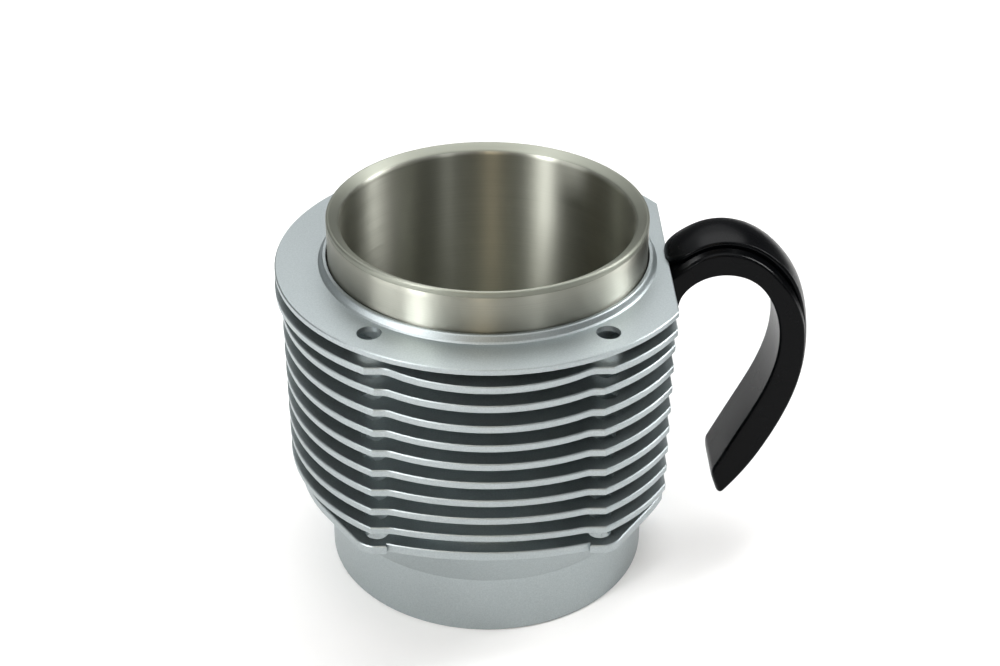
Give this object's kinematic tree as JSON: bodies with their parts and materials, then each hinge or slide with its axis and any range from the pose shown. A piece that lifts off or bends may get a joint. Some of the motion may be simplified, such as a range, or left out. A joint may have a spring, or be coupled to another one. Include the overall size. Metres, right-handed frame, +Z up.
{
  "type": "finned cylinder drinking mug",
  "caption": "Drinking mug shaped like an air-cooled engine cylinder: finned aluminium barrel, double-walled steel cup and an open black hook handle.",
  "frame": {"origin": "on the table under the cup's axis, in the middle of the base pad", "axes": "+Z up along the cup's axis, +X towards the handle, +Y to the back"},
  "size_m": [0.1391, 0.109, 0.1019],
  "materials": {
    "barrel_metal": "fine bead-blasted, silver anodised",
    "cup_steel": "turned and brushed round the axis",
    "handle_black": "satin black with a fine grain",
    "floor_metal": "turned",
    "screw_steel": "zinc plated",
    "black_rubber": "matt moulded"
  },
  "bodies": {
    "root": {"barrel": "barrel_metal", "cup_inner_shell": "cup_steel", "cup_outer_shell": "cup_steel", "cup_base_disc": "cup_steel", "rim_gasket": "black_rubber", "cup_support_ring": "black_rubber", "floor_plate": "floor_metal", "floor_screws": "screw_steel", "base_pad": "black_rubber", "handle_core": "handle_black", "handle_cap": "handle_black", "handle_saddle": "barrel_metal", "handle_screws": "screw_steel"}
  },
  "joints": []
}
